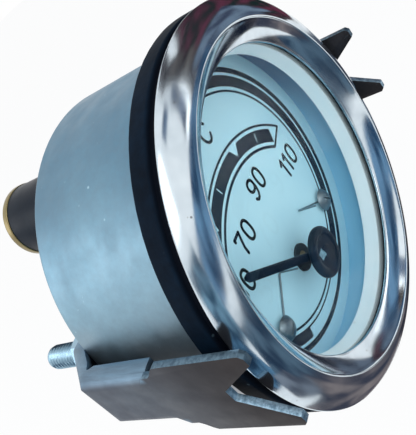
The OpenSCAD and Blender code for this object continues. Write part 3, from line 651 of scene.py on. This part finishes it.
def number_print():
    """Plain numbers below the scale, each placed by the middle of its first digit."""
    parts = []
    for text, x, z in (("50", -14.6, -2.1), ("70", -8.0, 0.95), ("90", 1.35, 2.6), ("110", 10.65, -1.9)):
        steps = (0, 1.65, 3.9) if text == "110" else (0, 2.75)
        for sign, step in zip(text, steps):
            parts += [stroke(line) for line in digit(sign, x + step, z)]
    return parts


def unit_print():
    """Plain sign for degrees Celsius."""
    x, z = 0.6, 14.4
    ring = oval(x - 1.55, z + 1.25, 0.42, 0.42, 2)
    letter = [(x + 1.35, z + 0.85), (x + 0.95, z + 1.4), (x + 0.4, z + 1.6), (x - 0.25, z + 1.35),
              (x - 0.65, z + 0.7), (x - 0.75, z), (x - 0.65, z - 0.7), (x - 0.25, z - 1.35),
              (x + 0.4, z - 1.6), (x + 0.95, z - 1.4), (x + 1.35, z - 0.85)]
    return [stroke(ring, 0.34), stroke(letter, 0.46)]


for name, prints in (("dial_ring_print", ring_print()), ("dial_scale_print", scale_print()),
                     ("dial_number_print", number_print()), ("dial_unit_print", unit_print())):
    piece(name, *joined(*prints), "gauge", INK, slot="dial_paint")

# ------------------------------------------------------------------ softened CAD shapes


def softened(node, name, width, turn=28, segments=2, edge_material=None, is_edge=None):
    """A piece with the shape and place of a CAD node, and its sharp edges rounded."""
    work = bmesh.new()
    work.from_mesh(frame["nodes"][node].data)
    cad_weld = 5e-7
    bmesh.ops.remove_doubles(work, verts=work.verts, dist=cad_weld)
    bmesh.ops.dissolve_limit(work, angle_limit=radians(0.4), verts=work.verts, edges=work.edges)
    sharp = [e for e in work.edges if len(e.link_faces) == 2 and e.calc_face_angle(0) > radians(turn)]
    bmesh.ops.bevel(work, geom=sharp, offset=width * MM, offset_type="OFFSET", segments=segments, profile=0.5,
                    affect="EDGES", clamp_overlap=True)
    if is_edge:
        for face in work.faces:
            if is_edge(face.calc_center_median() / MM, face.normal):
                face.material_index = 1
    mesh = bpy.data.meshes.new(name)
    work.to_mesh(mesh)
    work.free()
    mesh.polygons.foreach_set("use_smooth", [True] * len(mesh.polygons))
    mesh.set_sharp_from_angle(angle=radians(32))
    slot = SLOT_OF[node]
    mesh.materials.append(MATERIALS[slot])
    if edge_material:
        mesh.materials.append(edge_material)
    made = bpy.data.objects.new(name, mesh)
    bpy.context.scene.collection.objects.link(made)
    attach(made, BODY_OF[node])
    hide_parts(node)
    return made


def cut_edge(place, normal):
    """Whether a face is a cut edge of a leg or claw, in front of the flanges."""
    leg_inner, flange_start = 30.4, 8
    return abs(place.x) > leg_inner and place.y < flange_start and abs(normal.x) < 0.5


softened("bracket", "bracket_sheet", 0.1, edge_material=sheared_edge(), is_edge=cut_edge)
softened("stud_washers", "washer_rings", 0.06)
softened("terminal_blades", "terminal_tabs", 0.12)
softened("terminal_outer_insulators", "terminal_collars", 0.12)
softened("lamp_insulator", "lamp_end_disc", 0.08)
softened("lamp_contact", "lamp_feed_rivet", 0.08)
softened("pointer", "pointer_blade", 0.06)


def can_shell():
    """The can's mesh with a tighter rear corner, as in the photograph, and its flange inside the roll."""
    made = softened("case", "can_shell", 0.03, turn=60, segments=1)
    middle_r, middle_y, cad_round, new_round = 24.2, 20.9, 1.8, 0.7
    flange_reach, near, on_arc = 27.0, 0.02, 0.06
    shift = cad_round - new_round
    for vertex in made.data.vertices:
        x, y, z = vertex.co / MM
        r = hypot(x, z)
        if r > flange_reach and y < 0:
            vertex.co = Vector((x * flange_reach / r, y, z * flange_reach / r)) * MM
        arc_gap = abs(hypot(r - middle_r, y - middle_y) - cad_round)
        if r > middle_r - near and y > middle_y - near and arc_gap < on_arc:
            a = atan2(y - middle_y, r - middle_r)
            grown = middle_r + shift + new_round * cos(a)
            vertex.co = Vector((x * grown / r, middle_y + shift + new_round * sin(a), z * grown / r)) * MM


can_shell()

# ------------------------------------------------------------------ studs and nuts

STUD_X, STUD_R, STUD_END, PITCH = 21.6, 1.95, 38.2, 0.7
NUT_FRONT, NUT_REAR, NUT_AF = 26.52, 28.7, 7.0


def tube_faces(rings, around):
    """Faces of a tube of rings of points, with both ends closed."""
    faces = [tuple(range(around))[::-1], tuple(range((rings - 1) * around, rings * around))]
    for i in range(rings - 1):
        for k in range(around):
            m = (k + 1) % around
            faces.append((i * around + k, i * around + m, (i + 1) * around + m, (i + 1) * around + k))
    return faces


def thread(x, start, end, r, depth, around=36, per_turn=8):
    """Rod along Y with a rolled thread and a bullet-shaped rear end."""
    bullet, narrowing, fullness = 1.9, 0.78, 0.8
    rows = int((end - start) / PITCH * per_turn)
    vertices = []
    for i in range(rows + 1):
        y = start + (end - start) * i / rows
        for k in range(around):
            turn = (y / PITCH - k / around) % 1
            wave = 0.5 - 0.5 * cos(2 * pi * turn)
            reach = r - depth * wave ** fullness
            reach = min(reach, r * sqrt(1 - narrowing * max(0, 1 - (end - y) / bullet) ** 2))
            vertices.append((x + reach * cos(2 * pi * k / around), y, reach * sin(2 * pi * k / around)))
    return vertices, tube_faces(rows + 1, around)


def stud(x):
    """Post with its foot and collars, and its threaded end behind the can."""
    post = [(0, 4.15), (1.15, 4.15), (1.2, 4.2), (1.2, 5.15), (2.4, 5.15), (2.5, 5.25), (2.5, 22.1),
            (2.4, 22.2), (1.95, 22.2), (1.95, 22.7), (2.45, 22.7), (2.6, 22.85), (2.6, 25.05),
            (2.45, 25.2), (0, 25.2)]
    return joined(turned(post, x=x, steps=64), thread(x, 25.0, STUD_END, STUD_R, 0.34))


piece("threaded_studs", *joined(stud(-STUD_X), stud(STUD_X)), "gauge", "fastener_zinc",
      replaces=["mounting_studs"], sharp=40)


def hex_nut(x, steps=96):
    """Nut with both ends chamfered to a cone, and its bore's edges broken."""
    half, bore, top, broken = NUT_AF / 2, STUD_R + 0.06, NUT_AF / 2 * 0.97, 0.25
    slope = tan(radians(30))
    vertices, faces, count = [], [], 8
    for k in range(steps):
        a = 2 * pi * k / steps
        flat = half / cos((a % (pi / 3)) - pi / 6)
        drop = (flat - top) * slope
        for r, y in ((bore, NUT_FRONT + broken), (bore + broken, NUT_FRONT), (top, NUT_FRONT),
                     (flat, NUT_FRONT + drop), (flat, NUT_REAR - drop), (top, NUT_REAR),
                     (bore + broken, NUT_REAR), (bore, NUT_REAR - broken)):
            vertices.append((x + r * cos(a), y, r * sin(a)))
    for k in range(steps):
        for m in range(count):
            j, n = (k + 1) % steps, (m + 1) % count
            faces.append((k * count + m, j * count + m, j * count + n, k * count + n))
    return vertices, faces


piece("hex_nut_left", *hex_nut(-STUD_X), "nut_left", "fastener_zinc", replaces=["stud_nut_left"], sharp=20)
piece("hex_nut_right", *hex_nut(STUD_X), "nut_right", "fastener_zinc", replaces=["stud_nut_right"], sharp=20)

# ------------------------------------------------------------------ screws, hub, lamp


def slotted_screw(x, z, turn):
    """Domed head over the dial, with a cut slot, and its shank behind it."""
    r, h, seat = 1.9, 1.1, 3.05
    slot_half, slot_depth, near = 0.14, 0.75, 0.02
    dome = (r * r + h * h) / 2 / h
    profile = [(0, 5.9), (0.85, 5.9), (0.95, 5.8), (0.95, seat), (r - 0.05, seat), (r, seat - 0.06)]
    count = 14
    for k in range(1, count):
        t = (1 - k / count) * asin(r / dome)
        profile.append((dome * sin(t), seat - h + dome * (1 - cos(t))))
    profile.append((0, seat - h))
    mesh = bpy.data.meshes.new("screw_work")
    v, f = turned(profile, x=x, z=z, steps=72)
    mesh.from_pydata([Vector(p) * MM for p in v], [], f)
    work = bmesh.new()
    work.from_mesh(mesh)
    bmesh.ops.remove_doubles(work, verts=work.verts, dist=WELD)
    across = Vector((-sin(turn), 0, cos(turn)))
    middle = Vector((x, 0, z))
    for side in (-slot_half, slot_half):
        bmesh.ops.bisect_plane(work, geom=work.verts[:] + work.edges[:] + work.faces[:],
                               plane_co=(middle + across * side) * MM, plane_no=across)
    for vertex in work.verts:
        place = vertex.co / MM - middle
        if vertex.co.y / MM < seat - near and abs(place.dot(across)) < slot_half - near:
            vertex.co.y = max(vertex.co.y, (seat - slot_depth) * MM)
    work.to_mesh(mesh)
    work.free()
    points = [tuple(vertex.co / MM) for vertex in mesh.vertices]
    faces = [tuple(face.vertices) for face in mesh.polygons]
    bpy.data.meshes.remove(mesh)
    return points, faces


SCREW_RADIUS, SCREW_TURN = 17.7, radians(48)
SCREW_X, SCREW_Z = SCREW_RADIUS * sin(SCREW_TURN), -SCREW_RADIUS * cos(SCREW_TURN)
piece("dome_screws", *joined(slotted_screw(-SCREW_X, SCREW_Z, 0.5), slotted_screw(SCREW_X, SCREW_Z, 2.2)),
      "gauge", "small_steel", replaces=["dial_screws"], sharp=40)


def wire(points, r, around=16):
    """Round wire through points, with closed ends."""
    vertices = []
    n = len(points)
    for i, p in enumerate(points):
        p = Vector(p)
        ahead = Vector(points[min(i + 1, n - 1)]) - Vector(points[max(i - 1, 0)])
        if i == 0:
            u = ahead.normalized().orthogonal().normalized()
        else:
            u = u - ahead * u.dot(ahead) / ahead.length_squared
        u.normalize()
        w = ahead.normalized().cross(u)
        for k in range(around):
            a = 2 * pi * k / around
            vertices.append(tuple(p + (u * cos(a) + w * sin(a)) * r))
    return vertices, tube_faces(n, around)


def stop(side):
    """Thin wire from under a screw's head to its bent-up pin, where the pointer stops."""
    wire_r, lie = 0.15, DIAL - 0.16
    (x0, z0), (x1, z1) = (side * 12.5, -11.41), (side * 6.387, -7.369)
    run = [(x0 + (x1 - x0) * t, lie, z0 + (z1 - z0) * t) for t in (0, 0.5, 0.95)]
    pin = [(x1, lie - rise, z1) for rise in (0.12, 0.4, 1.5, 3.2)]
    return wire(run + pin, wire_r)


piece("stop_wire_low", *stop(-1), "gauge", "small_steel", replaces=["low_stop_wire"])
piece("stop_wire_high", *stop(1), "gauge", "small_steel", replaces=["high_stop_wire"])

# Cap with a raised rim round a shallow dish, and a raised boss over the shaft's end
HUB_REAR, HUB_FRONT = 0.1, -1.0
DISH = HUB_FRONT + 0.18
POCKET = HUB_FRONT + 0.4
hub = rounded([(0.4, HUB_REAR, 0), (3.7, HUB_REAR, 0.1), (4.0, HUB_REAR - 0.25, 0.2),
               (4.0, HUB_FRONT + 0.3, 0.25), (3.6, HUB_FRONT, 0.25), (2.9, HUB_FRONT, 0.1), (2.6, DISH, 0.2),
               (1.1, DISH, 0.1), (0.9, HUB_FRONT, 0.1), (0, HUB_FRONT, 0), (0, POCKET, 0), (0.4, POCKET, 0)],
              0.1, 4)
piece("hub_cap", *turned(hub, z=PIVOT, steps=128), "pointer", hub_plastic_with_glint(), slot="pointer_black",
      replaces=["pointer_hub"])

LAMP_X, LAMP_Z = -7.1, 16.6
shell = rounded([(4.5, 21.5, 0), (5.0, 21.5, 0.1), (5.0, 33.6, 0.05), (5.7, 33.6, 0.2), (5.7, 34.7, 0.35),
                 (5.35, 34.8, 0.25), (4.9, 34.8, 0.15), (4.5, 34.65, 0.05)], 0.1, 5)
piece("lamp_shell", *turned(shell, x=LAMP_X, z=LAMP_Z, steps=128), "lamp", "brass", replaces=["lamp_socket"])


def sleeve_wave(r, y, a):
    """Moulded, slightly uneven skin."""
    return r - (0.03 + 0.03 * noise.noise(Vector((cos(a) * 2, sin(a) * 2, y * 0.4)))), y


sleeve = rounded([(5.05, 22.76, 0.05), (5.6, 22.76, 0.2), (5.6, 26, 0), (5.6, 30, 0), (5.6, 33.58, 0.15),
                  (5.05, 33.58, 0.05)], 0.05, 4)
piece("lamp_tube", *turned(sleeve, x=LAMP_X, z=LAMP_Z, steps=128, shift=sleeve_wave), "lamp", "black_plastic",
      replaces=["lamp_sleeve"])

# ------------------------------------------------------------------ floor, lights and world


def floor():
    """Pale floor that keeps the object's shadow and is white as a background."""
    h, level, white_share = 3, -0.16, 0.9
    mesh = bpy.data.meshes.new("floor")
    mesh.from_pydata([(-h, -h, level), (h, -h, level), (h, h, level), (-h, h, level)], [], [(0, 1, 2, 3)])
    made = bpy.data.objects.new("floor", mesh)
    bpy.context.scene.collection.objects.link(made)
    m = Nodes("floor_white")
    m.set(Base_Color=(0.9, 0.9, 0.9), Roughness=0.9)
    light = m.add("Emission", Strength=1.0)
    mixer = m.tree.nodes.new("ShaderNodeMixShader")
    share = m.math("MULTIPLY", background_rays(m.tree), white_share)
    m.tree.links.new(share, mixer.inputs[0])
    m.tree.links.new(m.shader.outputs[0], mixer.inputs[1])
    m.tree.links.new(light.outputs[0], mixer.inputs[2])
    m.tree.links.new(mixer.outputs[0], m.tree.nodes["Material Output"].inputs["Surface"])
    mesh.materials.append(m.material)


def background_rays(tree):
    """1 for rays from the camera and from mirrors and glass, which see the background."""
    ray = tree.nodes.new("ShaderNodeLightPath")
    total = ray.outputs["Is Camera Ray"]
    for name in ("Is Glossy Ray", "Is Transmission Ray"):
        node = tree.nodes.new("ShaderNodeMath")
        node.operation = "MAXIMUM"
        tree.links.new(total, node.inputs[0])
        tree.links.new(ray.outputs[name], node.inputs[1])
        total = node.outputs[0]
    return total


def card(name, place, size, color, other, scale, stretch=(1, 1, 1), level=False):
    """Studio card of two tones in blotches, scale of them per metre, that only shows in reflections.

    It faces the object, or lies level.
    """
    w, h = size[0] / 2, size[1] / 2
    mesh = bpy.data.meshes.new(name)
    mesh.from_pydata([(-w, -h, 0), (w, -h, 0), (w, h, 0), (-w, h, 0)], [], [(0, 1, 2, 3)])
    made = bpy.data.objects.new(name, mesh)
    bpy.context.scene.collection.objects.link(made)
    made.location = place
    if not level:
        made.rotation_euler = made.location.to_track_quat("Z", "Y").to_euler()
    m = Nodes(name)
    vector = m.add("Mapping", Vector=m.coords, Scale=stretch).outputs[0]
    blotch = m.add("TexNoise", Vector=vector, Scale=scale, Detail=3.0).outputs["Fac"]
    light = m.add("Emission", Color=m.mix(m.remap(blotch, 0.42, 0.6, 0, 1), color, other), Strength=1.0)
    m.tree.links.new(light.outputs[0], m.tree.nodes["Material Output"].inputs["Surface"])
    mesh.materials.append(m.material)
    made.visible_camera = False
    made.visible_diffuse = False
    made.visible_shadow = False
    made.visible_transmission = False


def lamp(name, place, target, size, power, color):
    data = bpy.data.lights.new(name, "AREA")
    data.shape = "RECTANGLE"
    data.size, data.size_y = size
    data.energy = power
    data.color = color
    made = bpy.data.objects.new(name, data)
    made.location = place
    made.rotation_euler = (Vector(target) - Vector(place)).to_track_quat("-Z", "Y").to_euler()
    bpy.context.scene.collection.objects.link(made)


def world():
    """Soft light, cooler above, and white as a background."""
    scene_world = bpy.data.worlds.new("studio")
    bpy.context.scene.world = scene_world
    scene_world.use_nodes = True
    tree = scene_world.node_tree
    soft = tree.nodes["Background"]
    coords = tree.nodes.new("ShaderNodeTexCoord")
    up = tree.nodes.new("ShaderNodeSeparateXYZ")
    tree.links.new(coords.outputs["Generated"], up.inputs[0])
    ramp = tree.nodes.new("ShaderNodeValToRGB")
    span = tree.nodes.new("ShaderNodeMapRange")
    span.inputs["From Min"].default_value = -1
    tree.links.new(up.outputs["Z"], span.inputs["Value"])
    tree.links.new(span.outputs[0], ramp.inputs[0])
    stops = ramp.color_ramp.elements
    stops[0].position, stops[0].color = 0.0, (0.45, 0.43, 0.42, 1)
    stops[1].position, stops[1].color = 1.0, (0.78, 0.84, 0.9, 1)
    white = tree.nodes.new("ShaderNodeBackground")
    white.inputs[0].default_value = (1, 1, 1, 1)
    mixer = tree.nodes.new("ShaderNodeMixShader")
    tree.links.new(ramp.outputs[0], soft.inputs[0])
    tree.links.new(background_rays(tree), mixer.inputs[0])
    tree.links.new(soft.outputs[0], mixer.inputs[1])
    tree.links.new(white.outputs[0], mixer.inputs[2])
    tree.links.new(mixer.outputs[0], tree.nodes["World Output"].inputs["Surface"])


floor()
world()
# The cards stand where the chrome's dark and coloured reflections in the photograph come from
card("card_front", (0.02, -0.12, -0.002), (0.21, 0.056), (0.020, 0.055, 0.115), (0.16, 0.30, 0.46), 26.0)
card("card_front_low", (0.0, -0.12, -0.088), (0.17, 0.075), (0.020, 0.040, 0.075), (0.10, 0.16, 0.22), 26.0)
card("card_right", (0.215, -0.125, 0.03), (0.15, 0.09), (0.035, 0.045, 0.085), (0.18, 0.24, 0.32), 24.0)
card("card_right_low", (0.23, -0.03, -0.10), (0.13, 0.10), (0.025, 0.03, 0.05), (0.13, 0.16, 0.21), 22.0)
card("card_slope_top", (0.155, 0.03, -0.13), (0.19, 0.18), (0.006, 0.010, 0.022), (0.06, 0.055, 0.065), 26.0,
     level=True)
card("card_slope_high", (0.125, -0.14, -0.13), (0.16, 0.07), (0.03, 0.035, 0.05), (0.16, 0.14, 0.14), 26.0,
     level=True)
card("card_slate", (0.133, -0.273, 0.158), (0.05, 0.20), (0.05, 0.07, 0.12), (0.10, 0.15, 0.25), 14.0)
card("card_top", (0.42, -0.07, 0.13), (0.50, 0.46), (0.008, 0.022, 0.022), (0.12, 0.03, 0.055), 5.0,
     stretch=(1, 4, 1))
card("card_brown", (0.23, -0.25, 0.18), (0.10, 0.34), (0.018, 0.012, 0.018), (0.14, 0.12, 0.11), 14.0)
card("card_brown_high", (0.18, -0.05, 0.34), (0.34, 0.10), (0.018, 0.012, 0.018), (0.12, 0.11, 0.12), 14.0)
card("card_violet", (0.03, -0.25, 0.30), (0.10, 0.06), (0.05, 0.09, 0.16), (0.12, 0.20, 0.32), 12.0)
card("card_left", (-0.20, -0.21, -0.03), (0.16, 0.22), (0.012, 0.042, 0.085), (0.22, 0.38, 0.50), 20.0)
card("card_navy", (-0.15, -0.075, -0.115), (0.15, 0.13), (0.008, 0.022, 0.050), (0.09, 0.20, 0.32), 20.0)
card("card_bottom", (-0.04, -0.085, -0.125), (0.10, 0.055), (0.07, 0.08, 0.11), (0.22, 0.25, 0.30), 26.0)
card("card_below", (0.02, -0.03, -0.135), (0.12, 0.14), (0.045, 0.050, 0.075), (0.24, 0.20, 0.20), 26.0)
lamp("key", (-0.35, -0.35, 0.45), (0, 0.01, 0), (0.35, 0.35), 1.1, (0.95, 0.98, 1.0))
lamp("side", (0.4, -0.5, 0.1), (0, 0, 0), (0.3, 0.5), 0.4, (1.0, 0.98, 0.95))
lamp("rear", (-0.3, 0.5, 0.2), (0, 0.01, 0), (0.3, 0.3), 0.5, (0.95, 0.98, 1.0))
bpy.context.scene.view_settings.view_transform = "Standard"
